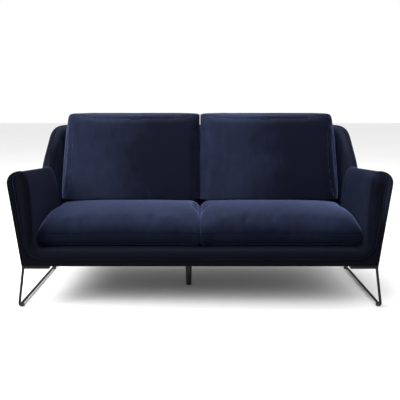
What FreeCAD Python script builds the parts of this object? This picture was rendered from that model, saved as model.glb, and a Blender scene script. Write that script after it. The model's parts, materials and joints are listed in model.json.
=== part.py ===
import FreeCAD, Part
import math
import os

# Two-seat tub sofa on steel-rod sled legs.
# Millimetres. The origin is on the floor under the middle of the sofa, the front faces -Y, +Z is up.

V = FreeCAD.Vector

# overall shell
front_face = -420.0          # front edge of the arms
body_bottom = 215.0          # underside of the upholstered body
base_half_width = 801.0      # half the width at the underside, at the front
side_splay = 0.1143          # how far a side leans out for each millimetre up
side_taper = 0.05            # how far a side comes in for each millimetre back
base_rear = 372.0            # back of the shell at the underside
back_splay = 0.0828          # how far the back leans out for each millimetre up
rear_corner_radius = 150.0
arm_front_height = 642.0     # top of the arm at its front end
notch_y = 50.0               # where the arm top meets the wing
notch_height = 604.0
shoulder_y = 327.0           # where the wing's slope reaches the back's height
shell_height = 795.0
shoulder_radius = 90.0
tub_top = 830.0              # loft height, above everything that is kept

# layers of a shell wall, measured in from its outside
cover_inset = 12.0           # velvet and thin foam outside the timber
timber_inset = 34.0
pad_start = 36.0             # front of the back webbing
wall = 62.0                  # whole wall with its inner pad, at the seat
rim_top = 30.0               # depth of the rim band over the frame's top edge
rim_front = 12.0
side_split = 640.0           # the back's panels stop here and the side panels start

# seat platform
dust_thickness = 1.0
rail_bottom = body_bottom + dust_thickness
rail_top = 262.0
rail_thickness = 28.0
front_rail_y = -392.0
rear_rail_y = 244.0
webbing_thickness = 1.5
deck_bottom = rail_top + 2 * webbing_thickness + 0.5
deck_top = 280.0
post_depth = 60.0            # arm front post and wing post, front to back
wing_post_y = 48.0
corner_panel_y = 98.0
back_rail_height = 50.0
back_post_width = 40.0
stretcher_x = -58.0          # the support leg stands left of the middle
stretcher_width = 60.0

# front border
border_front = -416.0
lower_panel_front = -410.0
border_bottom = 237.0
border_top = 277.0

# cushions
seat_bottom = 281.0
seat_top = 440.0
seat_front = -360.0
seat_rear = 140.0
seat_clearance = 3.0
middle_gap = 2.0
cushion_corner = 40.0
cover_skin = 3.0
lean = math.atan(0.357)      # back cushions' lean from upright
back_cushion_bottom = 443.0
back_cushion_top = 881.0     # before its corners are rounded
back_cushion_front = 10.0    # front face at its bottom edge
back_cushion_thickness = 195.0   # along Y
back_cushion_width = 697.0
back_gap = 3.0               # between the cushion and the inner back
zip_length = 320.0
zip_width = 8.0
zip_thickness = 1.4

# sled legs
rod_radius = 6.0
rod_bend = 24.0
runner_height = 12.0
front_leg_y = -385.0
rear_leg_y = 258.0
front_foot_x = 834.0
front_leg_top_x = 802.0
rear_foot_x = 822.0
rear_leg_top_x = 760.0
bar_thickness = 20.0
bar_width = 28.0
bar_length = 124.0
bolt_radius = 4.0
bolt_clearance = 0.2
bolt_head_radius = 7.0
bolt_head_height = 5.0
bolt_top = 248.0
insert_radius = 6.5
bolt_offsets = (24.0, 58.0)  # from the bar's inner end
glide_radius = 11.0
glide_height = 11.0
glide_offset = 38.0          # from the bend towards the middle of the runner

# centre support leg
centre_leg_y = -50.0
centre_leg_top_radius = 20.0
centre_leg_foot_radius = 13.0
plate_size = 70.0
plate_thickness = 2.5
centre_glide_height = 4.0
hanger_low = 170.0


def block(low_x, high_x, low_y, high_y, low_z, high_z):
    size = V(high_x - low_x, high_y - low_y, high_z - low_z)
    return Part.makeBox(size.x, size.y, size.z, V(low_x, low_y, low_z))


def mirrored(shape):
    return shape.mirror(V(0, 0, 0), V(1, 0, 0))


def rounded_path(points, radii, closed):
    """Straight runs through the points, with a tangent arc wherever a radius is given."""
    count = len(points)
    corners = []
    for index, point in enumerate(points):
        if radii[index] == 0:
            corners.append((point, point, None))
            continue
        before = (points[index - 1] - point).normalize()
        after = (points[(index + 1) % count] - point).normalize()
        half_angle = before.getAngle(after) / 2
        reach = radii[index] / math.tan(half_angle)
        arrive = point + before * reach
        leave = point + after * reach
        inward = (before + after).normalize()
        middle = point + inward * (radii[index] / math.sin(half_angle) - radii[index])
        corners.append((arrive, leave, Part.Arc(arrive, middle, leave).toShape()))
    edges = []
    for index in range(count):
        if corners[index][2] is not None:
            edges.append(corners[index][2])
        if closed or index < count - 1:
            following = corners[(index + 1) % count]
            edges.append(Part.LineSegment(corners[index][1], following[0]).toShape())
    return Part.Wire(edges)


def side_prism(points, radii, half_length):
    """A side-view outline of (y, z) points, drawn across the sofa from -half_length to +half_length."""
    corners = [V(-half_length, y, z) for y, z in points]
    face = Part.Face(rounded_path(corners, radii, True))
    return face.extrude(V(2 * half_length, 0, 0))


def half_width(y, z, inset):
    return base_half_width + side_splay * (z - body_bottom) - side_taper * (y - front_face) - inset


def tub(inset, front=front_face - 20.0):
    """The tapered, splayed tub, shrunk by inset at its sides and back."""
    outlines = []
    for z in (body_bottom, tub_top):
        rear = base_rear + back_splay * (z - body_bottom) - inset
        corners = [V(-half_width(front, z, inset), front, z), V(half_width(front, z, inset), front, z),
                   V(half_width(rear, z, inset), rear, z), V(-half_width(rear, z, inset), rear, z)]
        radius = rear_corner_radius - inset
        outlines.append(rounded_path(corners, [0, 0, radius, radius], True))
    return Part.makeLoft(outlines, True, True)


def under_top_line(drop, front_gap):
    """Everything below the shell's top line, lowered by drop, and behind its front edge."""
    front = front_face + front_gap
    points = [(front, body_bottom), (front, arm_front_height - drop), (notch_y, notch_height - drop),
              (shoulder_y, shell_height - drop), (600.0, shell_height - drop), (600.0, body_bottom)]
    return side_prism(points, [0, 0, 0, shoulder_radius, 0, 0], 1000.0)


def inner_back_y(z):
    return back_cushion_front + back_cushion_thickness + back_gap + math.tan(lean) * (z - back_cushion_bottom)


def shell_rim():
    wall_ring = tub(0).cut(tub(timber_inset, front_face - 40.0))
    edge_band = under_top_line(0, 0).cut(under_top_line(rim_top, rim_front))
    return wall_ring.common(edge_band)


def outer_covers():
    skin = tub(0).cut(tub(cover_inset, front_face - 40.0)).common(under_top_line(rim_top, rim_front))
    side = skin.common(block(side_split, 1000, -600, 600, 0, 900))
    back = skin.common(block(-side_split, side_split, 0, 600, 0, 900))
    return side, back


def timber_layer():
    layer = tub(cover_inset).cut(tub(timber_inset, front_face - 40.0))
    layer = layer.common(under_top_line(rim_top, rim_front))
    return layer.common(block(-1000, 1000, -600, 600, rail_bottom, 900))


def arm_front_post(layer):
    start = front_face + rim_front
    return layer.common(block(0, 1000, start, start + post_depth, rail_bottom, 900))


def arm_top_rail(layer):
    lower = under_top_line(rim_top + 40.0, 0)
    span = block(0, 1000, front_face + rim_front + post_depth, wing_post_y, rail_bottom, 900)
    return layer.cut(lower).common(span)


def wing_post(layer):
    return layer.common(block(0, 1000, wing_post_y, corner_panel_y, rail_top, 900))


def corner_panel(layer):
    """Bent plywood from the wing post round the rear corner to the back's post."""
    bent = layer.common(block(600, 1000, corner_panel_y, 600, rail_top, 900))
    return bent


def seat_side_rail(layer):
    start = front_face + rim_front + post_depth
    return layer.common(block(600, 1000, start, rear_rail_y + rail_thickness, rail_bottom, rail_top))


def back_top_rail(layer):
    low = shell_height - rim_top - back_rail_height
    return layer.common(block(-600, 600, 200, 600, low, 900))


def back_lower_rail(layer):
    return layer.common(block(-600, 600, 200, 600, rail_bottom, rail_top))


def back_posts(layer):
    posts = []
    top = shell_height - rim_top - back_rail_height
    for centre_x in (-600 + back_post_width / 2, 0, 600 - back_post_width / 2):
        span = block(centre_x - back_post_width / 2, centre_x + back_post_width / 2, 200, 600, rail_top, top)
        posts.append(layer.common(span))
    return Part.makeCompound(posts)


def bar_inner_end(is_front):
    top_x = front_leg_top_x if is_front else rear_leg_top_x
    return top_x + rod_radius - bar_length


def bolt_places():
    """Bolt centres on the right-hand side; the left side mirrors them."""
    places = []
    for is_front in (True, False):
        y = front_leg_y + 7.0 if is_front else rear_leg_y
        for offset in bolt_offsets:
            places.append((bar_inner_end(is_front) + offset, y))
    return places


def on_both_sides(shapes):
    return Part.makeCompound(shapes + [mirrored(shape) for shape in shapes])


def drill(shape, radius, low_z, high_z):
    for x, y in bolt_places():
        for side in (1, -1):
            hole = Part.makeCylinder(radius, high_z - low_z, V(side * x, y, low_z))
            shape = shape.cut(hole)
    return shape


def cross_rail(start_y):
    span = block(-1000, 1000, start_y, start_y + rail_thickness, rail_bottom, rail_top)
    rail = tub(timber_inset).common(span)
    return drill(rail, insert_radius, rail_bottom, bolt_top)


def seat_stretcher():
    half = stretcher_width / 2
    rail = block(stretcher_x - half, stretcher_x + half, front_rail_y + rail_thickness, rear_rail_y,
                 rail_bottom, rail_top)
    hole = Part.makeCylinder(bolt_radius + bolt_clearance, 40.0, V(stretcher_x, centre_leg_y, rail_bottom))
    return rail.cut(hole)


def corner_blocks():
    """Glued triangular blocks where the cross rails meet the side rails."""
    leg = 60.0
    blocks = []
    for y, forward in ((front_rail_y + rail_thickness, 1), (rear_rail_y, -1)):
        x = half_width(y, rail_bottom, timber_inset) - 3.5
        points = [V(x, y, rail_bottom), V(x - leg, y, rail_bottom), V(x, y + forward * leg, rail_bottom)]
        outline = Part.makePolygon(points + [points[0]])
        blocks.append(Part.Face(outline).extrude(V(0, 0, rail_top - rail_bottom - 2.0)))
    return on_both_sides(blocks)


def seat_webbing():
    """Elastic straps: front to back on the rails, then across on top of them."""
    straps = []
    strap_width = 56.0
    reach_front = front_rail_y + 2.0
    reach_rear = rear_rail_y + rail_thickness - 2.0
    for index in range(14):
        x = -650.0 + index * 100.0
        straps.append(block(x - strap_width / 2, x + strap_width / 2, reach_front, reach_rear,
                            rail_top, rail_top + webbing_thickness))
    low = rail_top + webbing_thickness
    inside = tub(cover_inset + 6.0)
    for y in (-290.0, -190.0, -90.0, 10.0, 150.0):
        strap = block(-1000, 1000, y - strap_width / 2, y + strap_width / 2, low, low + webbing_thickness)
        straps.append(strap.common(inside).cut(corner_panel_keepout()))
    return Part.makeCompound(straps)


def corner_panel_keepout():
    """Room for the bent plywood, which stands on the side rails behind the wing post."""
    right = tub(0).cut(tub(timber_inset)).common(block(0, 1000, corner_panel_y, 600, rail_top, 900))
    return right.fuse(mirrored(right))


def back_webbing():
    layer = tub(timber_inset).cut(tub(timber_inset + webbing_thickness, front_face - 40.0))
    straps = []
    top = shell_height - rim_top - 4.0
    for index in range(9):
        x = -520.0 + index * 130.0
        straps.append(layer.common(block(x - 28.0, x + 28.0, 200, 600, rail_bottom + 6.0, top)))
    return Part.makeCompound(straps)


def seat_deck_pad():
    span = block(-1000, 1000, front_rail_y, rear_rail_y, deck_bottom, deck_top)
    return tub(wall + 1.0).common(span)


def arm_pad():
    """Thick pad with an upright inner face, which follows the seat cushion's tapered side."""
    low = deck_top - 1.0
    rear = notch_y - 10.0
    points = [V(half_width(front_face, seat_bottom, wall), front_face, low), V(1000, front_face, low),
              V(1000, rear, low), V(half_width(rear, seat_bottom, wall), rear, low)]
    face = Part.Face(Part.makePolygon(points + [points[0]]))
    return face.extrude(V(0, 0, 900 - low)).common(tub(pad_start)).common(under_top_line(2.0, 4.0))


def wing_pad():
    layer = tub(pad_start).cut(tub(wall, front_face - 40.0)).common(under_top_line(2.0, 4.0))
    return layer.common(block(side_split + 1.0, 1000, notch_y - 8.0, 600, seat_bottom, 900))


def back_pad():
    top = shell_height - 2.0
    points = [(inner_back_y(seat_bottom), seat_bottom), (inner_back_y(top), top),
              (600.0, top), (600.0, seat_bottom)]
    wedge = side_prism(points, [0, 0, 0, 0], side_split)
    return wedge.common(tub(pad_start))


def front_border_roll():
    span = block(-1000, 1000, border_front, front_rail_y - 1.0, border_bottom, border_top)
    return tub(pad_start).common(span)


def front_lower_panel():
    span = block(-1000, 1000, lower_panel_front, front_rail_y - 1.0, body_bottom, border_bottom - 1.0)
    return tub(pad_start).common(span)


def dust_cover():
    sheet = tub(cover_inset + 2.0).common(block(-1000, 1000, front_rail_y, 600, body_bottom, rail_bottom))
    sheet = drill(sheet, bolt_radius + bolt_clearance, body_bottom - 1, rail_bottom + 1)
    hole = Part.makeCylinder(bolt_radius + bolt_clearance, 4.0, V(stretcher_x, centre_leg_y, body_bottom - 1))
    return sheet.cut(hole)


def dust_cover_staples():
    """Staple crowns along the edges of the dust cover."""
    long_side = 11.0
    wire = 1.2
    top = body_bottom
    staples = []
    for index in range(15):
        x = -600.0 + index * 85.0
        for y in (front_rail_y + 7.0, base_rear - 25.0):
            staples.append(block(x, x + long_side, y, y + wire, top - wire, top))
    for index in range(7):
        y = -310.0 + index * 80.0
        x = half_width(y, body_bottom, cover_inset + 8.0)
        staples.append(block(x - wire, x, y, y + long_side, top - wire, top))
        staples.append(block(-x, wire - x, y, y + long_side, top - wire, top))
    return Part.makeCompound(staples)


def leg_rod():
    """One bent rod: front upright, runner along the floor, rear upright."""
    top = body_bottom - bar_thickness
    points = [V(front_leg_top_x, front_leg_y, top + 20.0), V(front_foot_x, front_leg_y, runner_height),
              V(rear_foot_x, rear_leg_y, runner_height), V(rear_leg_top_x, rear_leg_y, top + 20.0)]
    path = rounded_path(points, [0, rod_bend, rod_bend, 0], False)
    start = (points[1] - points[0]).normalize()
    section = Part.Wire(Part.makeCircle(rod_radius, points[0], start))
    rod = path.makePipeShell([section], True, True)
    return rod.cut(block(0, 1000, -600, 600, top, top + 60.0))


def leg_bars():
    bars = []
    for is_front, y in ((True, front_leg_y), (False, rear_leg_y)):
        inner = bar_inner_end(is_front)
        bar = block(inner, inner + bar_length, y - bar_width / 2, y + bar_width / 2,
                    body_bottom - bar_thickness, body_bottom)
        bars.append(drill(bar, bolt_radius + bolt_clearance, 100.0, 300.0))
    return Part.makeCompound(bars)


def leg_bolts():
    low = body_bottom - bar_thickness
    bolts = []
    for x, y in bolt_places():
        shank = Part.makeCylinder(bolt_radius, bolt_top - 4.0 - low, V(x, y, low))
        head = Part.makeCylinder(bolt_head_radius, bolt_head_height, V(x, y, low - bolt_head_height))
        socket = Part.makeCylinder(2.5, 3.0, V(x, y, low - bolt_head_height))
        bolts.append(shank.fuse(head).removeSplitter().cut(socket))
    return on_both_sides(bolts)


def threaded_inserts():
    sleeves = []
    for x, y in bolt_places():
        sleeve = Part.makeCylinder(insert_radius - 0.05, 26.0, V(x, y, rail_bottom + 2.0))
        bore = Part.makeCylinder(bolt_radius + 0.1, 26.0, V(x, y, rail_bottom + 2.0))
        sleeves.append(sleeve.cut(bore))
    return on_both_sides(sleeves)


def runner_direction():
    return (V(rear_foot_x, rear_leg_y, 0) - V(front_foot_x, front_leg_y, 0)).normalize()


def glide(rod, at_front):
    """Clip-on foot under the runner, grooved to the rod."""
    if at_front:
        place = V(front_foot_x, front_leg_y, 0) + runner_direction() * glide_offset
    else:
        place = V(rear_foot_x, rear_leg_y, 0) - runner_direction() * glide_offset
    foot = Part.makeCylinder(glide_radius, glide_height, place)
    return foot.cut(rod)


def centre_leg():
    """Tapered turned leg with a rounded shoulder."""
    top = body_bottom - plate_thickness
    low = centre_glide_height
    outline = [V(0, 0, low), V(centre_leg_foot_radius - 1.0, 0, low), V(centre_leg_foot_radius, 0, low + 2.0),
               V(centre_leg_top_radius, 0, top - 10.0), V(centre_leg_top_radius - 2.0, 0, top), V(0, 0, top)]
    face = Part.Face(Part.makePolygon(outline + [outline[0]]))
    leg = face.revolve(V(0, 0, 0), V(0, 0, 1), 360)
    leg.translate(V(stretcher_x, centre_leg_y, 0))
    hole = Part.makeCylinder(bolt_radius, top - hanger_low, V(stretcher_x, centre_leg_y, hanger_low))
    return leg.cut(hole)


def centre_leg_plate():
    half = plate_size / 2
    plate = block(stretcher_x - half, stretcher_x + half, centre_leg_y - half, centre_leg_y + half,
                  body_bottom - plate_thickness, body_bottom)
    hole = Part.makeCylinder(bolt_radius + bolt_clearance, 6.0, V(stretcher_x, centre_leg_y, body_bottom - 4.0))
    return plate.cut(hole)


def centre_leg_bolt():
    length = rail_bottom + 36.0 - hanger_low
    return Part.makeCylinder(bolt_radius, length, V(stretcher_x, centre_leg_y, hanger_low))


def centre_leg_glide():
    return Part.makeCylinder(centre_leg_foot_radius - 2.0, centre_glide_height, V(stretcher_x, centre_leg_y, 0))


def seat_block(inset):
    """One seat cushion's shape; its outer side follows the arm's taper."""
    low_x = middle_gap / 2 + inset
    front = seat_front + inset
    rear = seat_rear - inset
    wall_inset = wall + seat_clearance + inset
    points = [V(low_x, front, seat_bottom + inset),
              V(half_width(front, seat_bottom, wall_inset), front, seat_bottom + inset),
              V(half_width(rear, seat_bottom, wall_inset), rear, seat_bottom + inset),
              V(low_x, rear, seat_bottom + inset)]
    radii = [cushion_corner / 2 - inset, cushion_corner - inset, cushion_corner / 2 - inset,
             cushion_corner / 2 - inset]
    face = Part.Face(rounded_path(points, radii, True))
    return face.extrude(V(0, 0, seat_top - seat_bottom - 2 * inset))


def seat_zip():
    middle = (middle_gap / 2 + half_width(seat_rear, seat_bottom, wall + seat_clearance)) / 2
    return block(middle - zip_length / 2, middle + zip_length / 2, seat_rear, seat_rear + zip_thickness,
                 seat_bottom + 76.0, seat_bottom + 76.0 + zip_width)


def back_block(inset):
    """One back cushion: flat underneath, leaning faces and a top square to the lean."""
    slope = math.tan(lean)
    front = back_cushion_front + inset * 1.06
    rear = back_cushion_front + back_cushion_thickness - inset * 1.06
    low = back_cushion_bottom + inset
    top = back_cushion_top - inset
    drop = back_cushion_thickness * math.cos(lean) * math.sin(lean)
    height = back_cushion_bottom
    points = [(front + slope * (low - height), low), (front + slope * (top - height), top),
              (rear + slope * (top - drop - height), top - drop), (rear + slope * (low - height), low)]
    radii = [cushion_corner / 2 - inset, cushion_corner - inset, cushion_corner - inset, cushion_corner / 2 - inset]
    half = back_cushion_width / 2 - inset
    cushion = side_prism(points, radii, half)
    cushion.translate(V(middle_gap / 2 + back_cushion_width / 2, 0, 0))
    return cushion


def back_zip():
    """Zip low on the rear face, in the gap in front of the inner back."""
    low = back_cushion_bottom + 60.0
    rear = back_cushion_front + back_cushion_thickness + 0.3
    slope = math.tan(lean)
    points = []
    for z, proud in ((low, 0), (low + zip_width, 0), (low + zip_width, zip_thickness), (low, zip_thickness)):
        points.append((rear + slope * (z - back_cushion_bottom) + proud, z))
    strip = side_prism(points, [0, 0, 0, 0], zip_length / 2)
    strip.translate(V(middle_gap / 2 + back_cushion_width / 2, 0, 0))
    return strip


def save(name, shape):
    shape.exportStep("parts/" + name + ".step")
    print(name, len(shape.Solids), round(shape.Volume / 1000), "cm3")


def save_pair(name, right_shape):
    save(name + "_right", right_shape)
    save(name + "_left", mirrored(right_shape))


def save_leg_frames():
    rod = leg_rod()
    save_pair("leg_rod", rod)
    save_pair("leg_bars", leg_bars())
    save_pair("glide_front", glide(rod, True))
    save_pair("glide_rear", glide(rod, False))
    save("leg_bolts", leg_bolts())
    save("threaded_inserts", threaded_inserts())
    save("centre_leg", centre_leg())
    save("centre_leg_plate", centre_leg_plate())
    save("centre_leg_bolt", centre_leg_bolt())
    save("centre_leg_glide", centre_leg_glide())


def save_timber():
    layer = timber_layer()
    save("seat_front_rail", cross_rail(front_rail_y))
    save("seat_rear_rail", cross_rail(rear_rail_y))
    save_pair("seat_side_rail", seat_side_rail(layer))
    save("seat_stretcher", seat_stretcher())
    save("corner_blocks", corner_blocks())
    save_pair("arm_front_post", arm_front_post(layer))
    save_pair("arm_top_rail", arm_top_rail(layer))
    save_pair("wing_post", wing_post(layer))
    save_pair("corner_panel", corner_panel(layer))
    save("back_top_rail", back_top_rail(layer))
    save("back_lower_rail", back_lower_rail(layer))
    save("back_posts", back_posts(layer))


def save_upholstery():
    side_cover, back_cover = outer_covers()
    save("seat_webbing", seat_webbing())
    save("back_webbing", back_webbing())
    save("seat_deck_pad", seat_deck_pad())
    save_pair("arm_pad", arm_pad())
    save_pair("wing_pad", wing_pad())
    save("back_pad", back_pad())
    save("front_border_roll", front_border_roll())
    save("front_lower_panel", front_lower_panel())
    save_pair("outer_arm_cover", side_cover)
    save("outer_back_cover", back_cover)
    save("shell_rim", shell_rim())
    save("dust_cover", dust_cover())
    save("dust_cover_staples", dust_cover_staples())


def save_cushions():
    seat_core = seat_block(cover_skin)
    back_core = back_block(cover_skin)
    save_pair("seat_cushion_foam", seat_core)
    save_pair("seat_cushion_cover", seat_block(0).cut(seat_core))
    save_pair("seat_cushion_zip", seat_zip())
    save_pair("back_cushion_foam", back_core)
    save_pair("back_cushion_cover", back_block(0).cut(back_core))
    save_pair("back_cushion_zip", back_zip())


os.makedirs("parts", exist_ok=True)
save_leg_frames()
save_timber()
save_upholstery()
save_cushions()
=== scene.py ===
import math
import json
import bmesh
import bpy
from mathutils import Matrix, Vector
from mathutils.bvhtree import BVHTree


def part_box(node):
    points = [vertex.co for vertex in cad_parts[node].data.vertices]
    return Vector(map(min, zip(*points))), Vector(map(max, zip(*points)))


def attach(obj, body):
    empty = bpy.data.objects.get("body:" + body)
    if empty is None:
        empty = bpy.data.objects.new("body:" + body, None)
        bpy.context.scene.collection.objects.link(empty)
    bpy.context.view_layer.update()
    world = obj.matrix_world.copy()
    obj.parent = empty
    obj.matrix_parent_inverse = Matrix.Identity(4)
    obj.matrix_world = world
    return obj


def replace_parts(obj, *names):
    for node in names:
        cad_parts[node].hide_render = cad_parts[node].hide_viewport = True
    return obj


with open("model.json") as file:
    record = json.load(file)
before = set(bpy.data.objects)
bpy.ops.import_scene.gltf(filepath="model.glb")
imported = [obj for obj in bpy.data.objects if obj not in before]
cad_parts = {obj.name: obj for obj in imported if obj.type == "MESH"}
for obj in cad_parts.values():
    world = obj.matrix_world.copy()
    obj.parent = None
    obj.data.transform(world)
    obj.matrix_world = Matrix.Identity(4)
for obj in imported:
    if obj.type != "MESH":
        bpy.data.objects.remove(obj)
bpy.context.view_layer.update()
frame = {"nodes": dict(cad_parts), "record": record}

# the shell's leading sizes, in metres, the rest is read from the frame
rimLow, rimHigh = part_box("shell_rim")
shell = {
    "front": rimLow.y,
    "bottom": rimLow.z,
    "top": rimHigh.z,
    "halfWidth": 0.801,        # half the width at the underside, at the front
    "splay": 0.1143,
    "taper": 0.05,
    "rear": 0.372,
    "backSplay": 0.0828,
    "cornerRadius": 0.150,
    "armFront": 0.642,
    "notchY": 0.050,
    "notchTop": 0.602,
    "shoulderY": 0.327,
    "shoulderEase": 0.045,     # half the length over which the wing's slope levels out
    "skin": 0.026,             # thickness of the outer wall, which is the rim band's width
    "wingSkin": 0.019,
    "armRound": 0.060,
    "wingRound": 0.022,
    "armFlat": 0.005,          # flat strip between the rounding and the seam
    "wingFlat": 0.006,
    "kink": 0.62,              # share of the outer section at which its rounding starts
    "levelZ": 0.6,             # height at which depth along the plan is read
    "seatPlane": 0.281,
}


def smoothStep(low, high, value):
    share = min(1, max(0, (value - low) / (high - low)))
    return share * share * (3 - 2 * share)


def mixed(first, second, share):
    return first + (second - first) * share


def outerHalf(y, z, inset):
    spread = shell["splay"] * (z - shell["bottom"])
    return shell["halfWidth"] + spread - shell["taper"] * (y - shell["front"]) - inset


# Height of the shell's edge at depth y.
def topLine(y):
    if y < shell["notchY"]:
        share = (y - shell["front"]) / (shell["notchY"] - shell["front"])
        return mixed(shell["armFront"], shell["notchTop"], share)
    slope = (shell["top"] - shell["notchTop"]) / (shell["shoulderY"] - shell["notchY"])
    rise = shell["notchTop"] + slope * (y - shell["notchY"])
    over = y - shell["shoulderY"]
    ease = shell["shoulderEase"]
    if over > ease:
        return shell["top"]
    if over > -ease:
        return rise - slope * (over + ease) ** 2 / (4 * ease)
    return rise


# the tub's plan is a U: right side, rear corner, half of the rear, and the same again mirrored
plan = {
    "side": 0.640,
    "corner": 0.228,
    "rear": 0.600,
}
planHalf = sum(plan.values())
planLength = 2 * planHalf


# x and y on the tub, run metres along the U from the right front.
def wallPoint(run, z, inset):
    mirrored = run > planHalf
    if mirrored:
        run = planLength - run
    tau = math.atan(shell["taper"])
    rearY = shell["rear"] + shell["backSplay"] * (z - shell["bottom"]) - inset
    radius = shell["cornerRadius"] - inset
    frontX = outerHalf(shell["front"], z, inset)
    centreY = rearY - radius
    centreX = frontX - (radius + (centreY - shell["front"]) * math.sin(tau)) / math.cos(tau)
    if run < plan["side"]:
        y = mixed(shell["front"], centreY + radius * math.sin(tau), run / plan["side"])
        x = frontX - shell["taper"] * (y - shell["front"])
    elif run < plan["side"] + plan["corner"]:
        turn = mixed(tau, math.pi / 2, (run - plan["side"]) / plan["corner"])
        x = centreX + radius * math.cos(turn)
        y = centreY + radius * math.sin(turn)
    else:
        x = centreX * (1 - (run - plan["side"] - plan["corner"]) / plan["rear"])
        y = rearY
    return (-x if mirrored else x), y


# Rounding radius, flat width and skin at the shell's edge, from the arms to the wings and back.
def edgeSection(y):
    share = smoothStep(-0.05, 0.12, y)
    radius = mixed(shell["armRound"], shell["wingRound"], share)
    flat = mixed(shell["armFlat"], shell["wingFlat"], share)
    return radius, flat, mixed(shell["skin"], shell["wingSkin"], share)


# The skin thins as it rolls over the top, so the liner meets it almost flush.
def skinAt(skin, turn):
    return skin * (1 - 0.72 * math.sin(turn) ** 2)


# Height, inset and turn of the outer wall's section: share 0 at the underside, 1 at the seam.
def outerProfile(y, top, share):
    radius, flat, _ = edgeSection(y)
    straight = top - radius - shell["bottom"]
    kink = shell["kink"]
    if share <= kink:
        return shell["bottom"] + straight * share / kink, 0, 0
    past = (share - kink) / (1 - kink) * (radius * math.pi / 2 + flat)
    turn = min(past / radius, math.pi / 2)
    z = top - radius + radius * math.sin(turn)
    inset = radius * (1 - math.cos(turn)) + max(0, past - radius * math.pi / 2)
    return z, inset, turn


# A closed slab from a grid: place(u, v, w) gives each corner, with w 0 on one face and 1 on the other.
def slab(name, columns, rows, place, bevels=(0.006, 0.006), segments=3):
    bm = bmesh.new()
    bmesh.ops.create_grid(bm, x_segments=columns, y_segments=rows, size=0.5)
    raised = bmesh.ops.extrude_face_region(bm, geom=bm.faces[:], use_keep_orig=True)
    lifted = [item for item in raised["geom"] if isinstance(item, bmesh.types.BMVert)]
    bmesh.ops.translate(bm, verts=lifted, vec=(0, 0, 1))
    bm.normal_update()
    rims = ([], [])
    for edge in bm.edges:
        heights = {round(vert.co.z) for vert in edge.verts}
        walls = [face for face in edge.link_faces if abs(face.normal.z) < 0.5]
        if len(heights) == 1 and walls:
            rims[heights.pop()].append(edge)
    for vert in bm.verts:
        vert.co = Vector(place(vert.co.x + 0.5, vert.co.y + 0.5, round(vert.co.z)))
    for edges, width in zip(rims, bevels):
        if width:
            kept = [edge for edge in edges if edge.is_valid]
            bmesh.ops.bevel(bm, geom=kept, offset=width, offset_type="OFFSET", segments=segments,
                            profile=0.5, affect="EDGES", clamp_overlap=True, material=-1)
    bmesh.ops.recalc_face_normals(bm, faces=bm.faces[:])
    if bm.calc_volume(signed=True) < 0:
        bmesh.ops.reverse_faces(bm, faces=bm.faces[:])
    return finished(name, bm)


def finished(name, bm, smooth=True):
    mesh = bpy.data.meshes.new(name)
    bm.to_mesh(mesh)
    bm.free()
    for face in mesh.polygons:
        face.use_smooth = smooth
    piece = bpy.data.objects.new(name, mesh)
    bpy.context.scene.collection.objects.link(piece)
    return piece


def softened(piece):
    smooth = piece.modifiers.new("soft", "SUBSURF")
    smooth.levels = 1
    smooth.render_levels = 1
    return piece


def applied(piece, modifier):
    with bpy.context.temp_override(object=piece, active_object=piece, selected_objects=[piece]):
        bpy.ops.object.modifier_apply(modifier=modifier.name)


def subdivided(piece):
    softened(piece)
    applied(piece, piece.modifiers["soft"])


# A sewn line: the surface is cut along a plane and the cut is drawn in, like thread pulling cloth.
def addSeam(piece, point, normal, depth=0.0028, width=0.0035, near=None):
    bm = bmesh.new()
    bm.from_mesh(piece.data)
    normal = Vector(normal).normalized()
    point = Vector(point)
    for shift in (-width, 0, width):
        faces = [face for face in bm.faces if near is None or near(face.calc_center_median())]
        edges = {edge for face in faces for edge in face.edges}
        verts = {vert for face in faces for vert in face.verts}
        bmesh.ops.bisect_plane(bm, geom=[*verts, *edges, *faces], dist=0.00005,
                               plane_co=point + normal * shift, plane_no=normal)
    bm.normal_update()
    for vert in bm.verts:
        if abs((vert.co - point).dot(normal)) < 0.0001 and (near is None or near(vert.co)):
            vert.co -= vert.normal * depth
    for face in bm.faces:
        face.smooth = True
    bm.to_mesh(piece.data)
    bm.free()


# Positions along a strip, packed like a quarter circle's where an end is rounded.
def easedSpots(count, length, startRound, endRound):
    spots = []
    bend = 6
    for step in range(count + 1):
        if step <= bend:
            spot = startRound * (1 - math.cos(step / bend * math.pi / 2))
        elif step >= count - bend:
            spot = length - endRound * (1 - math.cos((count - step) / bend * math.pi / 2))
        else:
            spot = mixed(startRound, length - endRound, (step - bend) / (count - 2 * bend))
        spots.append(spot)
    return spots


# outer wall: arms, wings and back in one wrapped skin, ending in the rim band at the seam
outerWall = {"columns": 172, "rows": 34, "frontGap": 0.0215, "bevel": 0.005, "seamRun": 0.800}


# Column lines are shifted so that one of them meets the notch on each side.
def outerWallPlace(u, v, w):
    gap = outerWall["frontGap"]
    run = mixed(gap, planLength - gap, u)
    reach = wallPoint(plan["side"], shell["levelZ"], 0)[1] - shell["front"]
    notch = plan["side"] * (shell["notchY"] - shell["front"]) / reach
    spacing = (planLength - 2 * gap) / outerWall["columns"]
    nearest = gap + round((notch - gap) / spacing) * spacing
    fromEnd = min(run, planLength - run)
    shift = (notch - nearest) * smoothStep(0, 1, 1 - abs(fromEnd - nearest) / 0.15)
    run += shift if run < planHalf else -shift
    y = wallPoint(run, shell["levelZ"], 0)[1]
    z, inset, turn = outerProfile(y, topLine(y), v)
    _, _, skin = edgeSection(y)
    inset += w * skinAt(skin, turn) * math.cos(turn)
    z -= w * skinAt(skin, turn) * math.sin(turn)
    x, y = wallPoint(run, z, inset)
    return x, y, z


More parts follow.
